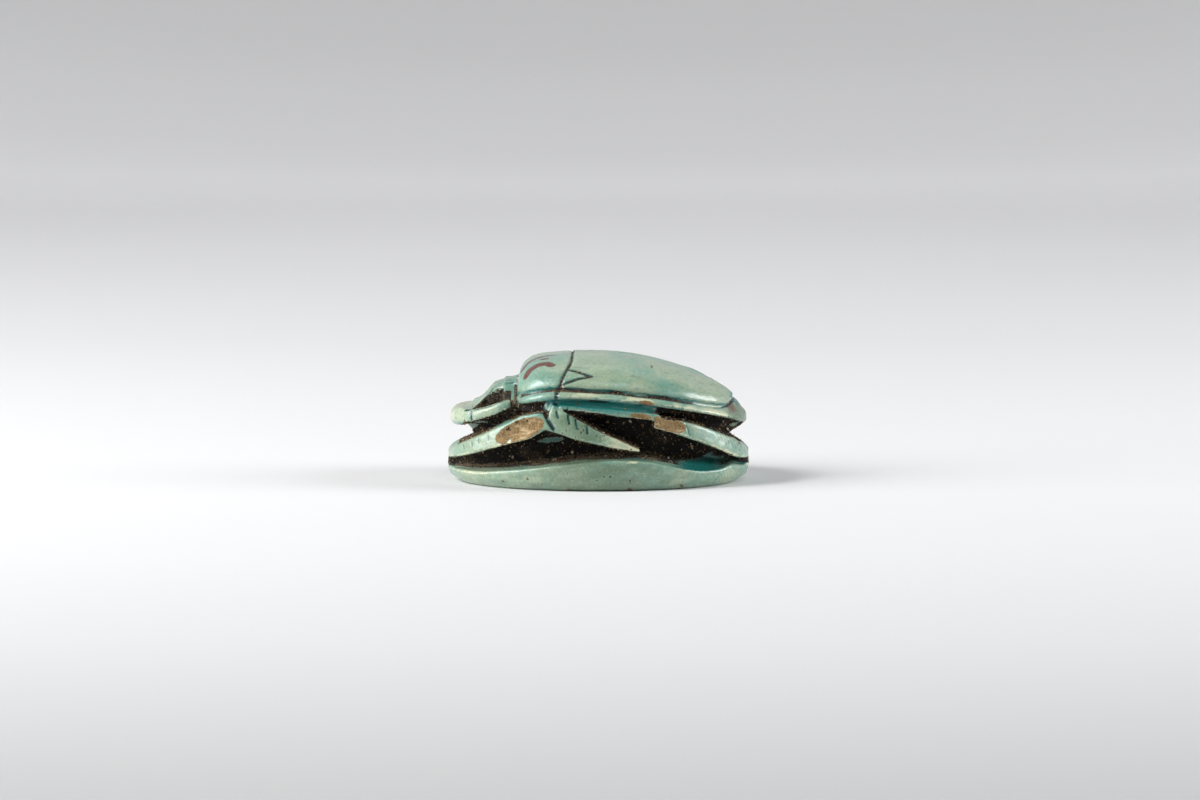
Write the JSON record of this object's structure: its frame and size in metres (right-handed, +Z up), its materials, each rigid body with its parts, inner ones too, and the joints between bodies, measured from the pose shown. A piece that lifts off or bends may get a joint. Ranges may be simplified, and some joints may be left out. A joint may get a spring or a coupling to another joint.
{
  "type": "scarab amulet",
  "caption": "Small scarab beetle amulet carved from one piece of glazed steatite, legs cut free in relief, on an oval base drilled end to end for a cord",
  "frame": {"origin": "middle of the flat underside of the base", "axes": "+X points to the beetle's tail, along the longest extent; +Z points up, along the shortest extent; the beetle's two sides mirror across Y = 0"},
  "size_m": [0.02, 0.0142, 0.0087],
  "materials": {
    "glazed_steatite": "worn pale green glaze"
  },
  "bodies": {
    "root": {"scarab": "glazed_steatite"}
  },
  "joints": []
}
